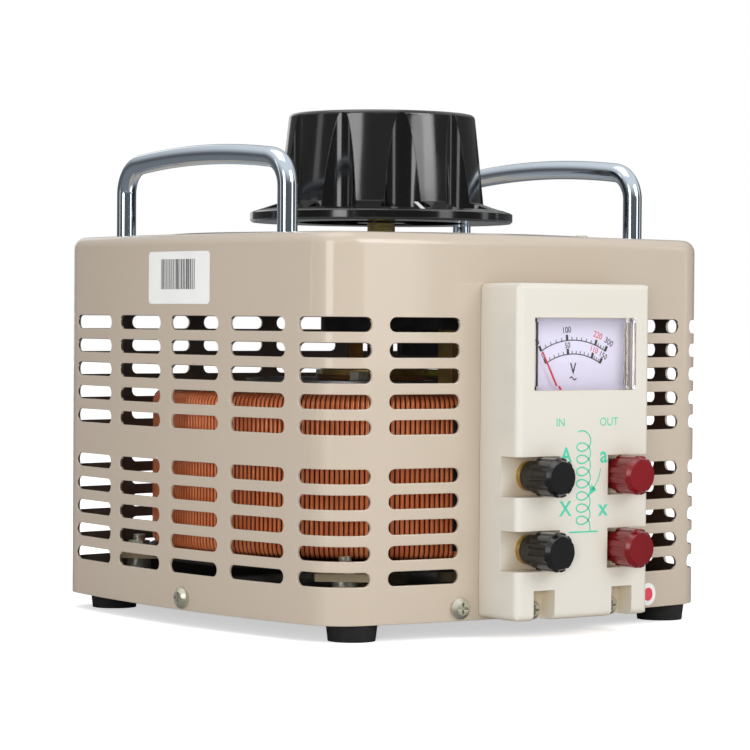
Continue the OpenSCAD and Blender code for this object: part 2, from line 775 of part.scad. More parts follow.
module panel_screws() color("#cfd3b8") {
    panel_screw_places() translate([0, 0, 20 + fit]) pan_screw(3.7, 2.4, screw_r, 20);
    top_boss_places() translate([0, 0, top_screw_at]) pan_screw(3.7, 2.4, screw_r, 10);
}

// The four terminals' places on the notch floors; +Z points out of the panel
module terminal_places(sides = [-1, 1], levels = terminal_z) {
    for (side = sides) for (level = levels)
        translate([panel_x + side * terminal_dx, -notch_floor, level])
            rotate([90, 0, 0]) children();
}

module terminal_studs() color("#c9a24e") terminal_places()
    translate([0, 0, -9]) cylinder(h = 27, r = stud_m);

module terminal_collars() color("#c8c64e") terminal_places()
    turned(5.9, stud_m + fit, fit, collar_t);

module terminal_nuts() color("#c9a24e") terminal_places()
    translate([0, 0, -panel_wall - 4 - fit]) hex_nut(9, 4, stud_m + fit);

module terminal_washer(side, level) color("#c9a24e") terminal_places([side], [level])
    turned(5.5, stud_m + run, collar_t + fit, collar_t + fit + washer_t);

// Insulated cap: plain sleeve, ribbed grip and a flat chamfered end
module terminal_cap(side, level) terminal_places([side], [level]) {
    foot = collar_t + washer_t + 2 * fit;
    tip = terminal_tip - notch_floor;
    difference() {
        union() {
            translate([0, 0, foot]) cylinder(h = 8, r = 6);
            translate([0, 0, 8.2]) cylinder(h = 1, r1 = 6, r2 = 7.7);
            translate([0, 0, 9.2]) cylinder(h = tip - 11, r = 7.7);
            translate([0, 0, tip - 1.8]) cylinder(h = 1.8, r1 = 7.2, r2 = 6.2);
        }
        translate([0, 0, foot - through]) cylinder(h = 16.5, r = stud_m + run);
        for (rib = [0 : cap_ribs - 1]) at(8.15, rib * 360 / cap_ribs)
            translate([0, 0, 7]) cylinder(h = tip, r = 0.95, $fn = 16);
    }
}

module washer_in_live() terminal_washer(-1, terminal_z[0]);
module washer_in_neutral() terminal_washer(-1, terminal_z[1]);
module washer_out_live() terminal_washer(1, terminal_z[0]);
module washer_out_neutral() terminal_washer(1, terminal_z[1]);
module cap_in_live() color("#15171a") terminal_cap(-1, terminal_z[0]);
module cap_in_neutral() color("#15171a") terminal_cap(-1, terminal_z[1]);
module cap_out_live() color("#7d1420") terminal_cap(1, terminal_z[0]);
module cap_out_neutral() color("#7d1420") terminal_cap(1, terminal_z[1]);

// ---- Meter ----

module meter_box(half_width, low, high, y_front, y_back) {
    translate([panel_x - half_width, -y_front, low])
        cube([2 * half_width, y_front - y_back, high - low]);
}

module meter_body() color("#f1ecdf") difference() {
    meter_box(meter_w / 2 - 0.2, meter_z[0], meter_z[1], scale_y - fit, 106);
    meter_box(meter_w / 2 - 1.7, meter_z[0] + 1.5, meter_z[1] - 1.5, scale_y + 1, 107.5);
}

module meter_scale() color("#e6e4ee") difference() {
    meter_box(meter_w / 2 - cover_wall - 0.1, meter_z[0] + 1.6, meter_z[1] - 1.6,
        scale_y + scale_t, scale_y);
    translate([panel_x, -scale_y + through, pivot_z]) rotate([90, 0, 0])
        cylinder(h = 4, r = 1.6);
}

// Coil former and bearing block behind the scale
module meter_movement() color("#a5642c") difference() {
    meter_box(9, meter_z[0] + 1.6, meter_z[0] + 14, scale_y - 0.6, 107.6);
    translate([panel_x, -scale_y - through, pivot_z]) rotate([-90, 0, 0])
        cylinder(h = 9, r = 0.6 + run);
}

// Clear cover: a shallow box behind the panel with a raised window
module meter_cover() color([0.9, 0.92, 1, 0.3]) difference() {
    lip = panel_front - panel_wall - 0.1;
    union() {
        meter_box(meter_w / 2, meter_z[0], meter_z[1], lip, scale_y);
        meter_box(window_w / 2 - 0.2, window_z[0] + 0.2, window_z[1] - 0.2,
            panel_front + 0.8, lip - 1);
    }
    meter_box(meter_w / 2 - cover_wall, meter_z[0] + cover_wall, meter_z[1] - cover_wall,
        lip - cover_wall, scale_y - through);
    meter_box(window_w / 2 - 0.2 - cover_wall, window_z[0] + 0.2 + cover_wall,
        window_z[1] - 0.2 - cover_wall, panel_front + 0.8 - cover_wall, scale_y);
}

module meter_needle() color("#c03028")
    translate([panel_x, -119.9, pivot_z]) rotate([90, 0, 0]) rotate([0, 0, needle_rest]) {
        linear_extrude(0.4) {
            polygon([[-0.5, 0], [0.5, 0], [0.22, needle_len], [-0.22, needle_len]]);
            polygon([[-1.2, 0], [1.2, 0], [0.9, -2.6], [-0.9, -2.6]]);
            circle(r = 2.2);
        }
        translate([0, 0, -9]) cylinder(h = 9.4, r = 0.6);
    }

// ---- Wiring and stickers ----

module winding_leads() color("#7a7a2c") {
    start = [winding_r * cos(winding_from), winding_r * sin(winding_from)];
    wire([[start[0] + 1, start[1] - 3.2, 60], [start[0] - 6, -98.5, 63], [0, -100, 68],
        [-9, -103, 68], [panel_x - terminal_dx + 4, -107.5, 68]], 1.3);
    wire([[-12, -98.2, 50], [-10, -99.5, 44], [-12, -104, 40],
        [panel_x - terminal_dx + 3, -107.5, 40]], 1.3);
}

module output_lead() color("#8c8630") wire([[3.5, -27.2, ring_z + 0.9],
    [-1, -42, ring_z + 1.5], [-2, -60, ring_z + 3], [1, -82, ring_z + 1],
    [5, -93, ring_z - 2.8], [11, -99.8, 88], [14, -104, 72],
    [panel_x + terminal_dx - 4, -107.5, 68]], 1.6);

module case_label() color("#f4f4f2") rotate([0, 0, 270]) translate([0, side_centre, 0])
    rotate([0, 0, front - asin(19 / side_r)]) translate([0, 0, foot_h + 122])
        rotate_extrude(angle = asin(24 / side_r) + asin(19 / side_r), $fn = side_fn)
            translate([side_r + fit, 0]) square([0.12, 21]);

module round_sticker() color("#f2f2f0") intersection() {
    translate([0, side_centre, 0]) rotate([0, 0, front + 5]) rotate_extrude(angle = 3,
        $fn = side_fn) translate([side_r + fit, 0]) square([0.12, 40]);
    translate([61, -80, foot_h + 5.5]) rotate([90, 0, 0]) cylinder(h = 40, r = 4.6);
}

base_plate();
case_cover();
rubber_feet();
foot_screws();
cover_screws();
dial_plate();
dial_screws();
handle_left();
handle_right();
handle_nuts();
support_frame();
frame_spacers();
frame_studs();
frame_nuts();
lower_insulator();
toroid_core();
core_end_caps();
winding();
end_tapes();
clamp_insulator();
clamp_disc();
clamp_bolts();
lower_bush();
upper_bush();
slip_ring_seat();
slip_ring();
stop_pin();
shaft();
shaft_collar();
shaft_sleeve();
brush_arm();
wiper_leaf();
brush_holder();
brush_spring();
carbon_brush();
knob();
knob_insert();
knob_grub_screw();
panel_housing();
panel_screws();
terminal_studs();
terminal_collars();
terminal_nuts();
washer_in_live();
washer_in_neutral();
washer_out_live();
washer_out_neutral();
cap_in_live();
cap_in_neutral();
cap_out_live();
cap_out_neutral();
meter_body();
meter_scale();
meter_movement();
meter_cover();
meter_needle();
winding_leads();
output_lead();
case_label();
round_sticker();
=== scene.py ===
"""Bench variac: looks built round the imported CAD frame, in the row frame, in metres."""
import json
import math
import random

import bpy
import numpy as np
from mathutils import Matrix, Vector, geometry


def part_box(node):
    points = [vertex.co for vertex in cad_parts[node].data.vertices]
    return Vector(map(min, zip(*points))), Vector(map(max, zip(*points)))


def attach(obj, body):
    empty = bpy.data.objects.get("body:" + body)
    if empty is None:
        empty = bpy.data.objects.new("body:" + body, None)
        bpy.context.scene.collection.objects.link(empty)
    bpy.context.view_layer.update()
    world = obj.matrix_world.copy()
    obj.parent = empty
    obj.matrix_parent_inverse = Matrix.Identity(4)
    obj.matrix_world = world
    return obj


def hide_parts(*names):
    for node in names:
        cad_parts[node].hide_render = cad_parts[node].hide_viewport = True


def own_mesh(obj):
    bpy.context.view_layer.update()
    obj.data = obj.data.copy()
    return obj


random.seed(4)
with open("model.json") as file:
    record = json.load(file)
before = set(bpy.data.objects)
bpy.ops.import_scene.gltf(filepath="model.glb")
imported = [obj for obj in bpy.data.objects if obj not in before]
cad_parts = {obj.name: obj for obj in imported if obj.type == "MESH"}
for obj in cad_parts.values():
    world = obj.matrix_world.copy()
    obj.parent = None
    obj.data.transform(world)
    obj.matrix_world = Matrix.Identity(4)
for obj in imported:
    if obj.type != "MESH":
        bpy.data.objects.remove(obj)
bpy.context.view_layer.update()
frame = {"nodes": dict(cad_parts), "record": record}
nodes = frame["nodes"]
scene = bpy.context.scene
MM = 0.001

# ---- Sizes in millimetres that the new meshes share with the CAD ----
WALL = 1.2
CORNER_R = 18.0
CASE_TOP = 156.5
CASE_LOW = 6.5
TRIANGLE = round(1000 * (104.0 - CORNER_R) / 14) / 1000
SIDE_R = 85 * TRIANGLE + CORNER_R
SIDE_C = 71 * TRIANGLE
CORNER_C = 13 * TRIANGLE
SIDE_A = math.atan(13 / 84)
CORNER_A = math.pi / 4 - SIDE_A
CORNER_LEN = 2 * CORNER_R * CORNER_A
SIDE_LEN = 2 * SIDE_R * SIDE_A
QUARTER = CORNER_LEN + SIDE_LEN
COLUMNS = 19
COLUMN = 4 * QUARTER / COLUMNS
SLOT_START = -1.5
HIDDEN_COLUMNS = (2, 3)
SLOT_LEN, SLOT_H, SLOT_PITCH = 32.0, 5.5, 9.8
SLOT_BASE = (24.0, 81.8)
PANEL_X, PANEL_FRONT = 3.5, 126.0
ZERO_ANGLE = 250.5      # where the dial's 0 stands
DIAL_TURN, DIAL_VOLTS = 320, 250
DIAL_FACE, DIAL_RING = 157.3, 59.5
HANDLE_X, HANDLE_LEG, HANDLE_TOP, ROD_R, BEND_R = 90.0, 57.0, 188.5, 4.0, 12.0
TOP_EDGE_R = 5.0
SHAFT_HOLE_R, HANDLE_HOLE_R = 7.0, 4.2
WIRE_R, WIRE_TURNS = 0.9, 270
LABEL_MIDDLE, LABEL_Z, LABEL_LIFT = 3.5 * QUARTER, 139.0, 0.15
SCALE_PIVOT_Z, CARD_Y = 81.5, 118.1


# ---- Meshes ----
def mesh_object(name, verts, faces, body, material, smooth=True, slot=None, normals=None,
                sharp=None):
    """A mesh from points in millimetres, riding on a CAD body."""
    mesh = bpy.data.meshes.new(name)
    mesh.from_pydata([tuple(float(c) * MM for c in v) for v in verts], [],
                     [tuple(int(i) for i in f) for f in faces])
    mesh.update()
    mesh.polygons.foreach_set("use_smooth", [smooth] * len(mesh.polygons))
    if sharp is not None:
        mesh.set_sharp_from_angle(angle=math.radians(sharp))
    if normals is not None:
        mesh.normals_split_custom_set_from_vertices([tuple(map(float, n)) for n in normals])
    obj = bpy.data.objects.new(name, mesh)
    scene.collection.objects.link(obj)
    obj.data.materials.append(material)
    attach(obj, body)
    return obj


class Parts:
    """Collects points and faces of several shapes for one mesh."""

    def __init__(self):
        self.verts, self.faces, self.normals = [], [], []

    def add(self, verts, faces, normals=None):
        base = len(self.verts)
        self.verts.extend(verts)
        self.faces.extend([[i + base for i in f] for f in faces])
        if normals is not None:
            self.normals.extend(normals)

    def object(self, name, body, material, **options):
        return mesh_object(name, self.verts, self.faces, body, material, **options)


def grid_faces(rows, columns, close_rows=False, close_columns=False):
    """Quads of a rows x columns grid of points."""
    out = []
    for i in range(rows if close_rows else rows - 1):
        for j in range(columns if close_columns else columns - 1):
            a, b = i * columns, (i + 1) % rows * columns
            k = (j + 1) % columns
            out.append((a + j, a + k, b + k, b + j))
    return out


def tube(points, radius, sides=12, closed=False, caps=True):
    """Round rod along a list of points; radius is one number or one for each point."""
    p = np.array(points, float)
    count = len(p)
    if closed:
        step = np.roll(p, -1, 0) - np.roll(p, 1, 0)
    else:
        step = np.gradient(p, axis=0)
    step /= np.linalg.norm(step, axis=1)[:, None]
    reach = np.broadcast_to(np.array(radius, float), (count,))
    side = np.cross(step[0], (0.3, 0.5, 0.81))
    side /= np.linalg.norm(side)
    rings = []
    for i in range(count):
        side = side - step[i] * np.dot(side, step[i])
        side /= np.linalg.norm(side)
        up = np.cross(step[i], side)
        turn = np.linspace(0, 2 * math.pi, sides, endpoint=False)
        rings.append(p[i] + reach[i] * (np.cos(turn)[:, None] * side + np.sin(turn)[:, None] * up))
    verts = np.concatenate(rings)
    faces = grid_faces(count, sides, close_rows=closed, close_columns=True)
    if caps and not closed:
        faces.append(tuple(range(sides - 1, -1, -1)))
        faces.append(tuple(range((count - 1) * sides, count * sides)))
    return list(verts), faces


def ribbon(points, width, lift, thick=0.06):
    """Raised printed line: a flat strip of a width through 2-D points, as a thin solid."""
    p = np.array(points, float)
    step = np.gradient(p, axis=0)
    step /= np.linalg.norm(step, axis=1)[:, None]
    across = np.stack([-step[:, 1], step[:, 0]], 1) * (width / 2)
    left, right = p + across, p - across
    verts, n = [], len(p)
    for h in (lift, lift + thick):
        verts += [(a[0], a[1], h) for a in left] + [(a[0], a[1], h) for a in right]
    faces = []
    for i in range(n - 1):
        faces.append((2 * n + i, 2 * n + i + 1, 3 * n + i + 1, 3 * n + i))
        faces.append((i, n + i, n + i + 1, i + 1))
        faces.append((i, i + 1, 2 * n + i + 1, 2 * n + i))
        faces.append((n + i, 3 * n + i, 3 * n + i + 1, n + i + 1))
    for i in (0, n - 1):
        faces.append((i, 2 * n + i, 3 * n + i, n + i))
    return verts, faces


def words(text, size, at, turn=0.0, lift=0.0, thick=0.06, bold=0.0, narrow=1.0):
    """Generic letters or numbers as a thin solid in a plane, centred on a 2-D point."""
    curve = bpy.data.curves.new("words", "FONT")
    curve.body = text
    curve.align_x, curve.align_y = "CENTER", "CENTER"
    curve.size = size
    curve.offset = bold
    curve.extrude = thick / 2
    curve.resolution_u = 4
    obj = bpy.data.objects.new("words", curve)
    scene.collection.objects.link(obj)
    bpy.context.view_layer.update()
    mesh = bpy.data.meshes.new_from_object(obj.evaluated_get(
        bpy.context.evaluated_depsgraph_get()))
    c, s = math.cos(turn), math.sin(turn)
    verts = []
    for v in mesh.vertices:
        x, y = v.co.x * narrow, v.co.y
        verts.append((at[0] + c * x - s * y, at[1] + s * x + c * y, lift + thick / 2 + v.co.z))
    faces = [tuple(p.vertices) for p in mesh.polygons]
    bpy.data.objects.remove(obj)
    bpy.data.curves.remove(curve)
    bpy.data.meshes.remove(mesh)
    return verts, faces


def on_front(verts, y):
    """Plane shapes (x, z, lift) onto an upright plane that faces -Y."""
    return [(a, y - h, b) for a, b, h in verts]


def on_level(verts, z):
    return [(a, b, z + h) for a, b, h in verts]


# ---- Materials ----
def linear(colour):
    """Linear RGBA from sRGB numbers of 0 to 255."""
    out = []
    for c in colour:
        c = c / 255
        out.append(c / 12.92 if c <= 0.04045 else ((c + 0.055) / 1.055) ** 2.4)
    return (*out, 1.0)


class Shader:
    """A Principled material with procedural grain, roughness and bump."""

    def __init__(self, name, colour, rough=0.4, metal=0.0, coat=0.0):
        self.material = bpy.data.materials.new(name)
        self.material.use_nodes = True
        self.tree = self.material.node_tree
        self.bsdf = self.tree.nodes["Principled BSDF"]
        self.coords = self.tree.nodes.new("ShaderNodeTexCoord").outputs["Object"]
        self.set("Base Color", linear(colour))
        self.set("Roughness", rough)
        self.set("Metallic", metal)
        self.set("Coat Weight", coat)
        self.set("Coat Roughness", 0.06)
        self.set("IOR", 1.5)
        self.normal = None

    def set(self, name, value):
        if isinstance(value, bpy.types.NodeSocket):
            self.tree.links.new(value, self.bsdf.inputs[name])
        else:
            self.bsdf.inputs[name].default_value = value

    def node(self, kind, inputs=None, **settings):
        n = self.tree.nodes.new(kind)
        for k, v in settings.items():
            setattr(n, k, v)
        for k, v in (inputs or {}).items():
            if isinstance(v, bpy.types.NodeSocket):
                self.tree.links.new(v, n.inputs[k])
            else:
                n.inputs[k].default_value = v
        return n

    def noise(self, scale, detail=4.0, stretch=None):
        """Noise with features of about 1/scale metres."""
        where = self.coords
        if stretch:
            where = self.node("ShaderNodeMapping", {"Vector": where, "Scale": stretch}).outputs[0]
        return self.node("ShaderNodeTexNoise", {"Vector": where, "Scale": scale, "Detail": detail,
                                                "Roughness": 0.55}).outputs["Fac"]

    def ranged(self, value, low, high, out_low, out_high):
        return self.node("ShaderNodeMapRange", {"Value": value, "From Min": low, "From Max": high,
                                                "To Min": out_low, "To Max": out_high}).outputs[0]

    def mix(self, factor, a, b):
        n = self.node("ShaderNodeMix", data_type="RGBA")
        for socket, v in ((n.inputs[0], factor), (n.inputs[6], a), (n.inputs[7], b)):
            if isinstance(v, bpy.types.NodeSocket):
                self.tree.links.new(v, socket)
            else:
                socket.default_value = v
        return n.outputs[2]

    def math(self, operation, a, b=0.0):
        n = self.node("ShaderNodeMath", operation=operation)
        for socket, v in zip(n.inputs, (a, b)):
            if isinstance(v, bpy.types.NodeSocket):
                self.tree.links.new(v, socket)
            else:
                socket.default_value = v
        return n.outputs[0]

    def xyz(self):
        n = self.node("ShaderNodeSeparateXYZ", {"Vector": self.coords})
        return n.outputs

    def tinted(self, colour, other, scale, stretch=None):
        """Base colour that drifts between two tones."""
        f = self.ranged(self.noise(scale, detail=1.0, stretch=stretch), 0.25, 0.75, 0.0, 1.0)
        self.set("Base Color", self.mix(f, linear(colour), linear(other)))
        return self

    def roughness(self, scale, low, high, stretch=None):
        self.set("Roughness", self.ranged(self.noise(scale, detail=2.0, stretch=stretch),
                                          0.2, 0.8, low, high))
        return self

    def bump(self, height, distance, strength=1.0):
        inputs = {"Height": height, "Distance": distance, "Strength": strength}
        if self.normal is not None:
            inputs["Normal"] = self.normal
        self.normal = self.node("ShaderNodeBump", inputs).outputs["Normal"]
        self.set("Normal", self.normal)
        return self

    def grain(self, scale, distance, strength=0.5, stretch=None):
        return self.bump(self.noise(scale, stretch=stretch), distance, strength)

    def soften(self, radius):
        """Rounded look for sharp edges; comes before any bump."""
        self.normal = self.node("ShaderNodeBevel", {"Radius": radius}, samples=8).outputs[0]
        self.set("Normal", self.normal)
        return self

    def knurl(self, count, distance):
        """Diamond ribs round the object's own Z axis."""
        x, y, z = self.xyz()
        turn = self.math("MULTIPLY", self.math("ARCTAN2", y, x), float(count))
        rise = self.math("MULTIPLY", z, 5200.0)
        return self.bump(self.math("MULTIPLY", self.math("SINE", self.math("ADD", turn, rise)),
                                   self.math("SINE", self.math("SUBTRACT", turn, rise))),
                         distance, 1.0)

    def dusty_creases(self, colour, reach=0.004, share=0.5):
        """Painted shade: a darker tone in corners and creases, from ambient occlusion."""
        old = self.bsdf.inputs["Base Color"]
        source = old.links[0].from_socket if old.links else tuple(old.default_value)
        ao = self.node("ShaderNodeAmbientOcclusion", {"Distance": reach}, samples=16)
        f = self.ranged(ao.outputs["AO"], 0.2, 0.9, share, 0.0)
        self.set("Base Color", self.mix(f, source, linear(colour)))
        return self


def cast_or_sheet(name, colour, other, rough, metal=0.0, coat=0.0, scale=60, fine=900,
                  depth=0.0001, strength=0.3, edge=0.0003):
    """General finish: soft edges, tone drift, uneven gloss and fine grain."""
    s = Shader(name, colour, metal=metal, coat=coat)
    s.soften(edge)
    s.tinted(colour, other, scale)
    s.roughness(scale * 2.3, rough * 0.8, min(rough * 1.25, 1.0))
    s.grain(fine, depth, strength)
    return s.material


case_shader = Shader("case_paint", (196, 184, 168), coat=0.6)
case_shader.tinted((191, 177, 160), (193, 179, 162), 9)
case_shader.roughness(30, 0.28, 0.33)
case_shader.grain(400, 0.00005, 0.06)
case_paint = case_shader.material

MATERIALS = {
    "base_paint": cast_or_sheet("base_paint", (52, 52, 50), (62, 61, 58), 0.55),
    "zinc": cast_or_sheet("zinc", (222, 220, 206), (204, 202, 182), 0.35, 0.85, scale=300),
    "rubber": cast_or_sheet("rubber", (24, 24, 24), (34, 33, 32), 0.75, fine=1500, strength=0.6),
    "bracket_paint": cast_or_sheet("bracket_paint", (178, 160, 132), (160, 142, 114), 0.45),
    "core_steel": cast_or_sheet("core_steel", (86, 83, 79), (70, 66, 62), 0.5, 0.8),
    "phenolic_black": cast_or_sheet("phenolic_black", (20, 19, 18), (30, 28, 26), 0.4),
    "phenolic_brown": cast_or_sheet("phenolic_brown", (96, 58, 34), (120, 76, 44), 0.5),
    "tape": cast_or_sheet("tape", (20, 20, 20), (36, 34, 32), 0.6, fine=600, strength=0.7),
    "aluminium": cast_or_sheet("aluminium", (168, 170, 172), (148, 150, 152), 0.38, 1.0),
    "black_casting": cast_or_sheet("black_casting", (26, 27, 28), (38, 38, 38), 0.5, fine=500,
                                   depth=0.0003, strength=0.6),
    "bronze": cast_or_sheet("bronze", (172, 124, 66), (150, 104, 54), 0.35, 1.0),
    "brass": cast_or_sheet("brass", (214, 180, 108), (190, 156, 92), 0.35, 0.9, scale=400),
    "shaft_steel": cast_or_sheet("shaft_steel", (150, 152, 154), (130, 131, 132), 0.35, 1.0),
    "carbon": cast_or_sheet("carbon", (38, 38, 40), (52, 51, 52), 0.6, fine=1600, strength=0.7),
    "cap_black": cast_or_sheet("cap_black", (13, 13, 14), (18, 17, 18), 0.22, coat=0.3, fine=1200,
                               edge=0.0005),
    "cap_red": cast_or_sheet("cap_red", (128, 10, 20), (108, 8, 16), 0.22, coat=0.3, fine=1200,
                             edge=0.0005),
    "needle_red": cast_or_sheet("needle_red", (228, 50, 70), (214, 40, 60), 0.4),
    "coil_copper": cast_or_sheet("coil_copper", (176, 98, 44), (150, 80, 36), 0.35, 0.7),
    "lead_sleeve": cast_or_sheet("lead_sleeve", (150, 144, 52), (120, 112, 40), 0.5),
    "sticker": cast_or_sheet("sticker", (240, 240, 238), (232, 232, 230), 0.45),
    "scale_card": cast_or_sheet("scale_card", (228, 223, 242), (226, 221, 240), 0.6),
    "knob_black": cast_or_sheet("knob_black", (9, 9, 10), (13, 13, 14), 0.14, coat=0.5,
                                depth=0.00006, strength=0.15, edge=0.0005),
    "case_paint": case_paint,
    # painted shade: the case's inside is dark brown-grey for the shade there, though it has the
    # same paint as the outside
    "case_inside_shade": cast_or_sheet("case_inside_shade", (72, 66, 60), (82, 76, 68), 0.6, edge=0.0),
}

# the blue in this colour is partly chrome's own cool tint and partly a painted reflection of
# bluish surroundings
chrome = Shader("chrome", (212, 224, 236), metal=1.0)
chrome.roughness(240, 0.05, 0.12)
chrome.grain(400, 0.00006, 0.15, stretch=(1, 1, 6))
MATERIALS["chrome"] = chrome.material

panel = Shader("panel_white", (232, 228, 217), coat=0.5)
panel.soften(0.0006)
panel.tinted((217, 213, 203), (216, 211, 200), 12)
# painted shade: a warmer, darker tone in the panel's corners and notches
panel.dusty_creases((214, 190, 150), 0.012, 0.6)
panel.roughness(40, 0.285, 0.325)
panel.grain(500, 0.0001, 0.1)
MATERIALS["panel_white"] = panel.material

clear = Shader("clear_cover", (248, 249, 252))
clear.roughness(60, 0.0, 0.02)
clear.set("Transmission Weight", 1.0)
clear.set("IOR", 1.45)
clear_output = clear.tree.nodes["Material Output"]
clear_path = clear.node("ShaderNodeLightPath").outputs
see_through = clear.node("ShaderNodeBsdfTransparent")
clear_mix = clear.node("ShaderNodeMixShader", {0: clear.math(
    "MAXIMUM", clear_path["Is Shadow Ray"], clear_path["Is Diffuse Ray"])})
clear.tree.links.new(clear.bsdf.outputs[0], clear_mix.inputs[1])
clear.tree.links.new(see_through.outputs[0], clear_mix.inputs[2])
clear.tree.links.new(clear_mix.outputs[0], clear_output.inputs["Surface"])
MATERIALS["clear_cover"] = clear.material

copper = Shader("copper_wire", (236, 128, 72), rough=0.34, metal=0.35, coat=0.4)
copper.tinted((255, 150, 96), (238, 122, 72), 120)
copper.roughness(500, 0.28, 0.42)
copper.grain(900, 0.00008, 0.3)
# painted shade: near-black in the gaps between the wires of the winding
copper.dusty_creases((40, 10, 4), 0.0025, 0.9)
MATERIALS["copper_wire"] = copper.material

knurled = Shader("knurled_brass", (240, 208, 130), rough=0.3, metal=0.15)
knurled.tinted((255, 232, 160), (244, 212, 132), 500)
knurled.roughness(700, 0.28, 0.4)
knurled.knurl(40, 0.0004)

dial = Shader("dial_print", (192, 194, 196), metal=0.85)
dial.tinted((193, 195, 197), (187, 189, 191), 700, stretch=(0.04, 1, 1))
dial.roughness(900, 0.33, 0.37, stretch=(0.04, 1, 1))
dial.grain(1500, 0.00004, 0.25, stretch=(0.03, 1, 1))
MATERIALS["dial_print"] = dial.material

slots = {s["node"]: s["material_slot"] for s in frame["record"]["subparts"]}

for name, obj in nodes.items():
    obj.data.materials.clear()
    obj.data.materials.append(MATERIALS.get(slots.get(name, "zinc"), MATERIALS["zinc"]))
nodes["knob_insert"].data.materials[0] = knurled.material

# ---- Case cover: sheet with wrapped, round-ended slots and a rolled top edge ----
def wall_points(u):
    """Points and outward directions on the case's outline, u mm round it from the middle of the
    front-left corner."""
    u = np.asarray(u, float)
    side = np.floor(u / QUARTER)
    v = u - side * QUARTER
    half = CORNER_LEN / 2
    first, last = v < half, v > half + SIDE_LEN
    angle = np.where(first, math.radians(225) + v / CORNER_R,
                     np.where(last, math.radians(315) + (v - QUARTER) / CORNER_R,
                              math.radians(270) - SIDE_A + (v - half) / SIDE_R))
    cx = np.where(first, -CORNER_C, np.where(last, CORNER_C, 0.0))
    cy = np.where(first | last, -CORNER_C, SIDE_C)
    reach = np.where(first | last, CORNER_R, SIDE_R)
    nx, ny = np.cos(angle), np.sin(angle)
    x, y = cx + reach * nx, cy + reach * ny
    turn = side * math.pi / 2
    c, s = np.cos(turn), np.sin(turn)
    return (np.stack([c * x - s * y, s * x + c * y], -1),
            np.stack([c * nx - s * ny, s * nx + c * ny], -1))


def on_wall(u, z, depth, tilt_u=0.0, tilt_z=0.0, out=1.0):
    """Points on the wall at a depth below its outer face, with normals from a local tilt."""
    u, z, depth, tilt_u, tilt_z, out = np.broadcast_arrays(u, z, depth, tilt_u, tilt_z, out)
    at, n = wall_points(u)
    p = np.stack([at[:, 0] - n[:, 0] * depth, at[:, 1] - n[:, 1] * depth, z], -1)
    along = np.stack([-n[:, 1], n[:, 0]], -1)
    normal = np.stack([n[:, 0] * out + along[:, 0] * tilt_u, n[:, 1] * out + along[:, 1] * tilt_u,
                       tilt_z], -1)
    normal /= np.linalg.norm(normal, axis=1)[:, None]
    return p, normal


def slot_cell(parts, u0, z0):
    """One slot and the wall round it, from the cell's edge on the outside to the inside."""
    reach, r = SLOT_LEN / 2 - SLOT_H / 2, SLOT_H / 2
    runs, cap = 10, 10
    xs = np.linspace(-reach, reach, runs + 1)
    a = np.linspace(math.pi / 2, -math.pi / 2, cap + 1)[1:-1]
    # slot outline and its outward direction in the wall: top run, right cap, bottom run, left cap
    centre = np.concatenate([np.stack([xs, 0 * xs], 1), np.tile([reach, 0], (cap - 1, 1)),
                             np.stack([xs[::-1], 0 * xs], 1), np.tile([-reach, 0], (cap - 1, 1))])
    away = np.concatenate([np.tile([0, 1], (runs + 1, 1)), np.stack([np.cos(a), np.sin(a)], 1),
                           np.tile([0, -1], (runs + 1, 1)), np.stack([-np.cos(a), -np.sin(a)], 1)])
    # the same number of points round the cell's edge
    w, h = COLUMN / 2, SLOT_PITCH / 2
    end = np.concatenate([np.stack([np.linspace(reach, w, 4)[1:], np.full(3, h)], 1),
                          np.stack([np.full(3, w), np.linspace(h, -h, 5)[1:-1]], 1),
                          np.stack([np.linspace(w, reach, 4)[:-1], np.full(3, -h)], 1)])
    edge = np.concatenate([np.stack([xs, np.full(runs + 1, h)], 1), end,
                           np.stack([xs[::-1], np.full(runs + 1, -h)], 1), -end])
    count = len(edge)
    # (distance out from the slot's edge, depth, share of the normal that faces the slot)
    rings = [(0.9, 0.0, 0.0), (0.45, 0.0, 0.0), (0.22, 0.06, 0.45), (0.06, 0.22, 0.8),
             (0.0, 0.45, 1.0), (0.0, WALL, 1.0)]
    points, normals = on_wall(u0 + edge[:, 0], z0 + edge[:, 1], 0.0)
    verts, norms = [points], [normals]
    for grow, depth, lean in rings:
        q = centre + away * (r + grow)
        p, n = on_wall(u0 + q[:, 0], z0 + q[:, 1], depth, -away[:, 0] * lean, -away[:, 1] * lean,
                       math.sqrt(1 - lean * lean) + 1e-4)
        verts.append(p)
        norms.append(n)
    parts.add(list(np.concatenate(verts)),
              [f[::-1] for f in grid_faces(len(verts), count, close_columns=True)],
              list(np.concatenate(norms)))
    q = centre + away * r
    p1, n1 = on_wall(u0 + q[:, 0], z0 + q[:, 1], WALL, out=-1.0)
    p2, n2 = on_wall(u0 + edge[:, 0], z0 + edge[:, 1], WALL, out=-1.0)
    parts.add(list(p1) + list(p2), [f[::-1] for f in grid_faces(2, count, close_columns=True)],
              list(n1) + list(n2))


def wall_grid(parts, us, zs, keep=None):
    """Plain stretch of wall, outside and inside, between two sets of grid lines."""
    uu, zz = np.meshgrid(us, zs)
    for depth, out in ((0.0, 1.0), (WALL, -1.0)):
        p, n = on_wall(uu.ravel(), zz.ravel(), depth, out=out)
        faces = grid_faces(len(zs), len(us))
        if out < 0:
            faces = [f[::-1] for f in faces]
        if keep:
            faces = [f for f in faces if keep(np.mean([uu.ravel()[i] for i in f]),
                                              np.mean([zz.ravel()[i] for i in f]))]
        parts.add(list(p), faces, list(n))


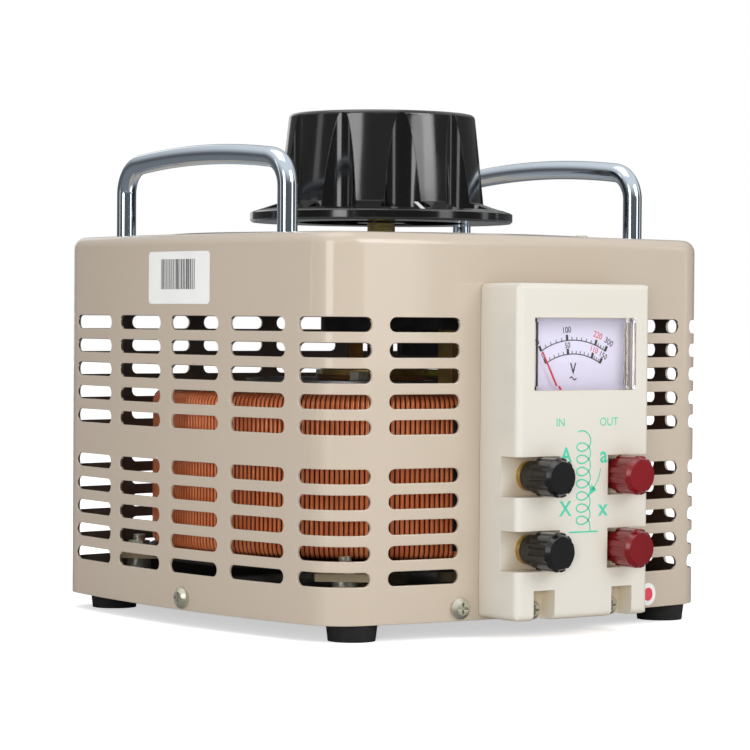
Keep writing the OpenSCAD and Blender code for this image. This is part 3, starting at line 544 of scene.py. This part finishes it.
def case_top_and_foot(parts, us):
    """Rolled edge and flat top with its holes, and the folded bottom edge, inside and outside."""
    count = len(us)
    for inner in (False, True):
        depth0, top = (WALL, CASE_TOP - WALL) if inner else (0.0, CASE_TOP)
        r = TOP_EDGE_R - depth0
        out = -1.0 if inner else 1.0
        verts, norms = [], []
        for a in np.linspace(0, math.pi / 2, 9):
            p, n = on_wall(us, top - r + r * math.sin(a), depth0 + r * (1 - math.cos(a)),
                           out=out * math.cos(a) + 1e-6 * out, tilt_z=out * math.sin(a))
            verts.append(p)
            norms.append(n)
        faces = grid_faces(9, count, close_columns=True)
        parts.add(list(np.concatenate(verts)), [f[::-1] for f in faces] if inner else faces,
                  list(np.concatenate(norms)))
        outline = [Vector((float(q[0]), float(q[1]), 0)) for q in verts[-1]]
        holes = [((0, 0), SHAFT_HOLE_R, 32)]
        holes += [((x, y), HANDLE_HOLE_R, 24) for x in (-HANDLE_X, HANDLE_X)
                  for y in (-HANDLE_LEG, HANDLE_LEG)]
        loops = [outline]
        for (x, y), radius, sides in holes:
            loops.append([Vector((x + radius * math.cos(2 * math.pi * i / sides),
                                  y - radius * math.sin(2 * math.pi * i / sides), 0))
                          for i in range(sides)])
        flat = [p for loop in loops for p in loop]
        tris = geometry.tessellate_polygon(loops)
        up = []
        for t in tris:
            a, b, c = (flat[i] for i in t)
            ccw = (b - a).cross(c - a).z > 0
            up.append(tuple(t) if ccw != inner else tuple(t)[::-1])
        parts.add([(p.x, p.y, top) for p in flat], up, [(0, 0, out)] * len(flat))
    verts, norms = [], []
    for depth, z, lean in ((0.0, CASE_LOW + 0.35, 0.05), (0.1, CASE_LOW + 0.1, 0.7),
                           (0.35, CASE_LOW, 0.98), (WALL, CASE_LOW, 1.0)):
        p, n = on_wall(us, z, depth, out=math.sqrt(1 - lean * lean) + 1e-3, tilt_z=-lean)
        verts.append(p)
        norms.append(n)
    parts.add(list(np.concatenate(verts)), [f[::-1] for f in grid_faces(
        len(verts), count, close_columns=True)], list(np.concatenate(norms)))


def build_case():
    parts = Parts()
    reach, w = SLOT_LEN / 2 - SLOT_H / 2, COLUMN / 2
    local = np.concatenate([np.linspace(-w, -reach, 4)[:-1], np.linspace(-reach, reach, 11),
                            np.linspace(reach, w, 4)[1:]])
    all_us = np.concatenate([(SLOT_START + k * COLUMN + local[:-1]) % (4 * QUARTER)
                             for k in range(COLUMNS)])
    rows = 5
    bands = [(CASE_LOW + 0.35, SLOT_BASE[0] - SLOT_PITCH / 2, 3),
             (SLOT_BASE[0] + (rows - 0.5) * SLOT_PITCH, SLOT_BASE[1] - SLOT_PITCH / 2, 2),
             (SLOT_BASE[1] + (rows - 0.5) * SLOT_PITCH, CASE_TOP - TOP_EDGE_R, 5)]
    opening = (PANEL_X + 94.3, 21.0, 30.0, 116.0)

    def outside_opening(u, z):
        middle, half, low, high = opening
        return abs(u - middle) > half or not low < z < high

    for k in range(COLUMNS):
        us = SLOT_START + k * COLUMN + local + (0 if k else 4 * QUARTER)
        hidden = k in HIDDEN_COLUMNS
        for low, high, steps in bands:
            wall_grid(parts, us, np.linspace(low, high, steps + 1),
                      outside_opening if hidden else None)
        for base in SLOT_BASE:
            for row in range(rows):
                z = base + row * SLOT_PITCH
                if hidden:
                    wall_grid(parts, us, np.linspace(z - SLOT_PITCH / 2, z + SLOT_PITCH / 2, 5),
                              outside_opening)
                else:
                    slot_cell(parts, SLOT_START + k * COLUMN + 4 * QUARTER, z)
    case_top_and_foot(parts, all_us)
    obj = parts.object("case_sheet", "frame", case_paint, slot="case_paint",
                       normals=parts.normals)
    obj.data.materials.append(MATERIALS["case_inside_shade"])
    # faces that point into the case take the second material, the painted shade of the inside
    for face in obj.data.polygons:
        c, n = face.center, face.normal
        face.material_index = int(c.x * n.x + c.y * n.y < -0.03 and abs(n.z) < 0.5
                                  or n.z < -0.5 and c.z > 0.1)
    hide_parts("case_cover")


build_case()


# ---- Winding: one loop of enamelled wire after another round the ring ----
def winding_loop(angle, layer):
    """Centre line of one turn: a rounded oblong in the plane through the axis."""
    r_in, r_out = 48.3 + 1.75 * layer, 94.1
    low, high, edge = 29.4, 92.6, 4.0
    path = []
    for cx, cz, start in ((r_out - edge, high - edge, 0), (r_in + edge, high - edge - 0.5 * layer,
                          90), (r_in + edge, low + edge + 0.5 * layer, 180),
                          (r_out - edge, low + edge, 270)):
        for a in np.radians(start + np.linspace(0, 90, 6)):
            path.append((cx + edge * math.cos(a), cz + edge * math.sin(a)))
    c, s = math.cos(angle), math.sin(angle)
    return [(r * c, r * s, z) for r, z in path]


def build_winding():
    first, span = math.radians(296.0), math.radians(324.0)
    parts = Parts()
    for i in range(WIRE_TURNS):
        angle = first + span * (i + 0.5) / WIRE_TURNS + random.uniform(-1, 1) * 0.0006
        parts.add(*tube(winding_loop(angle, i % 2), WIRE_R, sides=8, closed=True))
    obj = parts.object("winding_wire", "frame", MATERIALS["copper_wire"], slot="copper_wire")
    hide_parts("winding")


build_winding()


# ---- Handles: bent chromed rod ----
def handle_path(x):
    """Centre line: two legs, two bends and a slightly arched bar."""
    bend = math.radians(84)
    arch = math.pi / 2 - bend
    arch_r = (HANDLE_LEG - BEND_R * (1 - math.cos(bend))) / math.sin(arch)
    leg_top = HANDLE_TOP - arch_r * (1 - math.cos(arch)) - BEND_R * math.sin(bend)
    half = [(HANDLE_LEG, z) for z in np.linspace(CASE_TOP - 12, leg_top, 8)[:-1]]
    half += [(HANDLE_LEG - BEND_R * (1 - math.cos(a)), leg_top + BEND_R * math.sin(a))
             for a in np.linspace(0, bend, 22)]
    half += [(arch_r * math.sin(a), HANDLE_TOP - arch_r * (1 - math.cos(a)))
             for a in np.linspace(arch, 0, 12)[1:]]
    return [(x, y, z) for y, z in half] + [(x, -y, z) for y, z in half[-2::-1]]


for side, x in (("left", -HANDLE_X), ("right", HANDLE_X)):
    parts = Parts()
    parts.add(*tube(handle_path(x), ROD_R, sides=32))
    obj = parts.object("rod_" + side, "frame", MATERIALS["chrome"], slot="chrome", sharp=60)
    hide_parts("handle_" + side)


# ---- Brush spring: a coil of wire riding on the rotor ----
def build_spring():
    wire_r, coils, travel, seat = 0.43, 6, 3.0, 128.97
    low, high = (np.array(corner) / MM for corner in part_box("brush_spring"))
    x, y = (low[0] + high[0]) / 2, (low[1] + high[1]) / 2
    coil_r = (high[0] - low[0]) / 2 - wire_r
    turn = np.linspace(0, 2 * math.pi * (coils + 1.5), 260)
    share = np.clip((turn / (2 * math.pi) - 0.75) / coils, 0, 1)
    level = low[2] + wire_r + share * (high[2] - low[2] - 2 * wire_r)
    path = np.stack([x + coil_r * np.cos(turn), y + coil_r * np.sin(turn), level], 1)
    parts = Parts()
    parts.add(*tube(path, wire_r, sides=12))
    obj = parts.object("spring_coil", "rotor", MATERIALS["shaft_steel"], slot="shaft_steel",
                       sharp=60)
    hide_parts("brush_spring")
    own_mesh(obj)


build_spring()


# ---- Printing: raised by a few hundredths of a millimetre, like silk-screen ink ----
def ink(name, colour, other):
    return cast_or_sheet(name, colour, other, 0.5, scale=200, fine=1500, edge=0.0)


INK_BLACK = ink("ink_black", (22, 21, 30), (34, 32, 42))
INK_RED = ink("ink_red", (226, 74, 92), (214, 60, 80))
INK_TEAL = ink("ink_teal", (66, 194, 160), (84, 206, 174))
INK_WHITE = ink("ink_white", (236, 236, 232), (224, 224, 220))


def arc_points(centre, radius, start, stop, count=40):
    """Arc in a plane; angles in degrees clockwise from straight up."""
    return [(centre[0] + radius * math.sin(math.radians(a)),
             centre[1] + radius * math.cos(math.radians(a)))
            for a in np.linspace(start, stop, count)]


def build_meter_print():
    """Two voltage scales on one card: the upper reads to 300 and the lower to 150."""
    centre = (PANEL_X, SCALE_PIVOT_Z)
    known = [(0, -29.0), (100, -5.4), (220, 19.5), (300, 29.0)]
    black, red = Parts(), Parts()

    def angle(volts):
        return float(np.interp(volts, [k[0] for k in known], [k[1] for k in known]))

    def add(parts, shape):
        verts, faces = shape
        parts.add(on_front(verts, -CARD_Y), faces)

    for radius, share, labels in ((34.0, 1, (0, 100, 220, 300)), (28.6, 2, (0, 50, 110, 150))):
        add(black, ribbon(arc_points(centre, radius, -29.4, 29.4), 0.4, 0.0))
        for volts in list(range(0, 300, 20)) + [260, 300]:
            major = volts in (0, 100, 220, 300)
            a = angle(volts)
            tick = arc_points(centre, radius, a, a, 1) + arc_points(
                centre, radius + (2.2 if major else 1.3), a, a, 1)
            add(black, ribbon(tick, 1.2 if major else 0.34, 0.0))
        for label in labels:
            a = angle(label * share)
            spot = arc_points(centre, radius + (4.0 if share == 1 else 3.4), a, a, 1)[0]
            shape = words(str(label), 3.5 if share == 1 else 3.2, spot, -math.radians(a),
                          bold=0.02, narrow=0.9)
            add(red if label in (220, 110) else black, shape)
    add(black, words("V", 6.2, (PANEL_X, 104.2), narrow=0.8, bold=0.08))
    wave = [(PANEL_X - 1.7 + 3.4 * t, 100.6 + 0.55 * math.sin(2 * math.pi * t))
            for t in np.linspace(0, 1, 24)]
    add(black, ribbon(wave, 0.45, 0.0))
    black.object("scale_print", "frame", INK_BLACK, smooth=False)
    red.object("scale_print_red", "frame", INK_RED, smooth=False)


def build_panel_print():
    """The coil symbol with its tap, the terminals' letters and the two headings."""
    parts = Parts()

    def add(shape):
        verts, faces = shape
        parts.add(on_front(verts, -PANEL_FRONT), faces)

    pitch, turns, top = 4.75, 7.4, 76.4
    coil = [(3.0 + 3.55 * math.cos(t), top - pitch * t / (2 * math.pi) - 2.7 * math.sin(t))
            for t in np.linspace(-0.8 * math.pi, 2 * math.pi * (turns - 0.4), 330)]
    coil.append((6.6, 41.2))
    add(ribbon(coil, 0.55, 0.0))
    add(ribbon([(-4.3, 41.0), (10.6, 41.0)], 0.6, 0.0))
    tap = [(11.8 - 0.6 * t - 3.4 * t * t, 65.6 - 8.2 * t) for t in np.linspace(0, 1, 16)]
    add(ribbon(tap, 0.5, 0.0))
    add(([(6.4, 55.3, z) for z in (0.0, 0.06)] + [(9.8, 57.2, z) for z in (0.0, 0.06)]
         + [(7.2, 59.4, z) for z in (0.0, 0.06)],
         [(1, 3, 5), (0, 4, 2), (0, 2, 3, 1), (2, 4, 5, 3), (4, 0, 1, 5)]))
    for letter, size, at in (("A", 8.2, (-6.0, 70.8)), ("a", 9.0, (13.4, 70.6)),
                             ("X", 8.2, (-6.2, 50.0)), ("x", 9.0, (13.2, 49.9))):
        add(words(letter, size, at, bold=0.16))
    for word, x in (("IN", -9.0), ("OUT", 16.0)):
        add(words(word, 4.6, (x, 83.6)))
    parts.object("panel_print", "frame", INK_TEAL, smooth=False)


def wall_patch(parts, u0, u1, z0, z1, lift, thick=0.04):
    """Thin rectangle on the case's curved wall."""
    us = np.tile([u0, u1, u1, u0], 2)
    zs = np.tile([z0, z0, z1, z1], 2)
    depth = np.repeat([-lift - thick, -lift], 4)
    p, _ = on_wall(us, zs, depth)
    parts.add(list(p), [(0, 1, 2, 3), (7, 6, 5, 4), (0, 4, 5, 1), (1, 5, 6, 2), (2, 6, 7, 3),
                        (3, 7, 4, 0)])


def build_label():
    """White label with rounded corners, curved with the wall."""
    half_w, half_h, r = 21.5, 10.5, 1.8
    ends = half_w - r + r * np.sin(np.linspace(0, math.pi / 2, 8))
    us = np.concatenate([-ends[::-1], np.linspace(r - half_w, half_w - r, 25)[1:-1], ends])
    into = np.clip(np.abs(us) - (half_w - r), 0, r)
    reach = half_h - r + np.sqrt(np.maximum(r * r - into * into, 0))
    middle, count = LABEL_MIDDLE + 2.5, len(us)
    verts = []
    for depth in (-0.03, -LABEL_LIFT):
        for way in (-1, 1):
            verts += list(on_wall(middle + us, LABEL_Z + way * reach, depth)[0])
    faces = []
    for i in range(count - 1):
        low0, high0, low1, high1 = i, count + i, 2 * count + i, 3 * count + i
        faces += [(low1, low1 + 1, high1 + 1, high1), (low0, high0, high0 + 1, low0 + 1),
                  (high0, high1, high1 + 1, high0 + 1), (low0, low0 + 1, low1 + 1, low1)]
    last = count - 1
    faces += [(0, 2 * count, 3 * count, count),
              (last, count + last, 3 * count + last, 2 * count + last)]
    label = Parts()
    label.add(verts, faces)
    obj = label.object("label_sheet", "frame", MATERIALS["sticker"], slot="sticker", sharp=30)
    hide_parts("case_label")


def build_stickers():
    """Bars on the case's label, and the red centre of the round sticker."""
    bars, u = Parts(), LABEL_MIDDLE - 9.6
    stop = u + 23.2
    while u < stop:
        width = random.choice((0.28, 0.28, 0.42, 0.62))
        wall_patch(bars, u, u + width, 134.4, 146.4, LABEL_LIFT)
        u += width + random.choice((0.26, 0.34, 0.5, 0.62))
    bars.object("label_bars", "frame", INK_BLACK, smooth=False)
    dot = Parts()
    turn = np.linspace(0, 2 * math.pi, 32, endpoint=False)
    middle = QUARTER / 2 + SIDE_R * math.asin(61 / SIDE_R)
    outer, _ = on_wall(middle + 2.7 * np.cos(turn), 12 + 2.7 * np.sin(turn), -0.19)
    inner, _ = on_wall(middle + 2.7 * np.cos(turn), 12 + 2.7 * np.sin(turn), -0.15)
    dot.add(list(outer) + list(inner), [tuple(range(32)), tuple(range(63, 31, -1))]
            + [(i, 32 + i, 32 + (i + 1) % 32, (i + 1) % 32) for i in range(32)])
    dot.object("sticker_dot", "frame", INK_RED, smooth=False)


def build_dial_print():
    """Ticks and numbers from 0 to 250 round the knob, and the knob's white pointer."""
    marks = Parts()

    def add(shape):
        verts, faces = shape
        marks.add(on_level(verts, DIAL_FACE), faces)

    def spot(radius, degrees):
        a = math.radians(degrees)
        return (radius * math.cos(a), radius * math.sin(a))

    for volts in range(0, DIAL_VOLTS + 1, 5):
        degrees = ZERO_ANGLE - DIAL_TURN * volts / DIAL_VOLTS
        length = 6.0 if volts % 50 == 0 else 4.2 if volts % 10 == 0 else 2.6
        add(ribbon([spot(DIAL_RING, degrees), spot(DIAL_RING + length, degrees)],
                   0.9 if volts % 50 == 0 else 0.5, 0.0))
        if volts % 25 == 0:
            add(words(str(volts), 7.5 if volts % 50 == 0 else 5.5, spot(73.5, degrees),
                      math.radians(degrees - 90)))
    ring = [spot(DIAL_RING, ZERO_ANGLE - a) for a in np.linspace(0, DIAL_TURN, 97)]
    add(ribbon(ring, 0.5, 0.0))
    marks.object("dial_marks", "frame", INK_BLACK, smooth=False)
    pointer = Parts()
    c, s = spot(1.0, ZERO_ANGLE)
    verts = []
    for lift in (0.02, 0.1):
        for r, half in ((44.6, 0.9), (53.6, 0.9)):
            z = 167.6 + (54.1 - r) * 3.7 / 11.1 + lift
            verts += [(r * c - way * half * s, r * s + way * half * c, z) for way in (-1, 1)]
    pointer.add(verts, [(4, 6, 7, 5), (0, 1, 3, 2), (0, 2, 6, 4), (1, 5, 7, 3), (2, 3, 7, 6),
                        (0, 4, 5, 1)])
    pointer.object("knob_pointer", "rotor", INK_WHITE, smooth=False)


build_meter_print()
build_panel_print()
build_label()
build_stickers()
build_dial_print()


# ---- Camera ----
cam_data = bpy.data.cameras.new("camera")
camera = bpy.data.objects.new("camera", cam_data)
scene.collection.objects.link(camera)
scene.camera = camera
azimuth = 0.658
forward = Vector((0.61121, 0.79109, -0.02453)).normalized()
right = Vector((math.cos(azimuth), -math.sin(azimuth), 0))
up = right.cross(forward)
roll = 0.008
r2 = right * math.cos(roll) + up * math.sin(roll)
u2 = up * math.cos(roll) - right * math.sin(roll)
camera.matrix_world = Matrix(((r2.x, u2.x, -forward.x, -0.79751),
                              (r2.y, u2.y, -forward.y, -1.03221),
                              (r2.z, u2.z, -forward.z, 0.12350),
                              (0, 0, 0, 1)))
cam_data.sensor_width = 36
cam_data.lens = 149.09
cam_data.shift_x, cam_data.shift_y = -0.00693, 0.02552
cam_data.clip_start, cam_data.clip_end = 0.05, 50

# ---- Stage ----
SKY_DIFFUSE = 0.62      # even light on matt surfaces
SKY_LOW, SKY_HIGH = 0.12, 0.85      # what glossy surfaces mirror at the horizon and overhead
# Bright windows in the mirrored surroundings: direction, half width in degrees, strength
WINDOWS = ((150, 3, 1.0), (199, 7, 4.5), (290, 5, 2.2), (335, 3, 1.2), (70, 6, 0.8))


def studio_world():
    """White behind the object, even light for matt surfaces, windows for glossy ones."""
    world = bpy.data.worlds.new("studio")
    scene.world = world
    world.use_nodes = True
    tree = world.node_tree
    tree.nodes.clear()

    def link(socket, value):
        if isinstance(value, bpy.types.NodeSocket):
            tree.links.new(value, socket)
        else:
            socket.default_value = value

    def calc(operation, a, b=0.0):
        n = tree.nodes.new("ShaderNodeMath")
        n.operation = operation
        link(n.inputs[0], a)
        link(n.inputs[1], b)
        return n.outputs[0]

    def smooth(value, low, high, out_low, out_high):
        n = tree.nodes.new("ShaderNodeMapRange")
        n.interpolation_type = "SMOOTHSTEP"
        for socket, v in zip(n.inputs, (value, low, high, out_low, out_high)):
            link(socket, v)
        return n.outputs[0]

    coords = tree.nodes.new("ShaderNodeTexCoord").outputs["Generated"]
    split = tree.nodes.new("ShaderNodeSeparateXYZ")
    link(split.inputs[0], coords)
    x, y, z = split.outputs
    azimuth = calc("ARCTAN2", y, x)
    mirrored = smooth(z, 0.1, 0.75, SKY_LOW, SKY_HIGH)
    below_top = smooth(z, 0.35, 0.6, 1.0, 0.0)
    for degrees, half, strength in WINDOWS:
        away = calc("COSINE", calc("SUBTRACT", azimuth, math.radians(degrees)))
        lit = smooth(away, math.cos(math.radians(half * 1.5)), math.cos(math.radians(half)),
                     0.0, strength)
        mirrored = calc("ADD", mirrored, calc("MULTIPLY", lit, below_top))
    path = tree.nodes.new("ShaderNodeLightPath").outputs
    level = calc("ADD", calc("MULTIPLY", path["Is Glossy Ray"], mirrored),
                 calc("MULTIPLY", calc("SUBTRACT", 1.0, path["Is Glossy Ray"]), SKY_DIFFUSE))
    seen = calc("MAXIMUM", path["Is Camera Ray"], path["Is Transmission Ray"])
    level = calc("ADD", calc("MULTIPLY", seen, 1.0),
                 calc("MULTIPLY", calc("SUBTRACT", 1.0, seen), level))
    background = tree.nodes.new("ShaderNodeBackground")
    background.inputs["Color"].default_value = (1, 1, 1, 1)
    link(background.inputs["Strength"], level)
    output = tree.nodes.new("ShaderNodeOutputWorld")
    link(output.inputs["Surface"], background.outputs[0])


studio_world()
scene.view_settings.view_transform = "Standard"

floor_mesh = bpy.data.meshes.new("floor")
floor_mesh.from_pydata([(-6, -6, 0), (6, -6, 0), (6, 6, 0), (-6, 6, 0)], [], [(0, 1, 2, 3)])
floor = bpy.data.objects.new("floor", floor_mesh)
scene.collection.objects.link(floor)
floor_shader = Shader("floor", (244, 244, 244), rough=0.9)
floor_shader.set("Specular IOR Level", 0.0)
floor_path = floor_shader.node("ShaderNodeLightPath").outputs
floor_shader.set("Base Color", floor_shader.mix(
    floor_path["Is Glossy Ray"], linear((246, 246, 246)), linear((128, 130, 132))))
floor_shader.set("Emission Color", (1, 1, 1, 1))
floor_shader.set("Emission Strength", floor_shader.math("MULTIPLY", floor_path["Is Camera Ray"],
                                                        0.55))
floor.data.materials.append(floor_shader.material)


def area_light(name, at, look, size, power, size_y=None):
    data = bpy.data.lights.new(name, "AREA")
    data.shape = "RECTANGLE"
    data.size, data.size_y = size, size_y or size
    data.energy = power
    obj = bpy.data.objects.new(name, data)
    scene.collection.objects.link(obj)
    obj.location = at
    obj.rotation_mode = "QUATERNION"
    obj.rotation_quaternion = (Vector(look) - Vector(at)).to_track_quat("-Z", "Y")
    return obj


area_light("key", (0.5, -1.9, 1.2), (0, 0, 0.1), 1.1, 14.5)
flash = area_light("flash", (-1.15, -1.25, 0.22), (0, 0, 0.08), 0.35, 9)
flash.visible_glossy = False
area_light("top", (-0.3, 0.2, 1.9), (0, 0, 0.1), 1.4, 9)
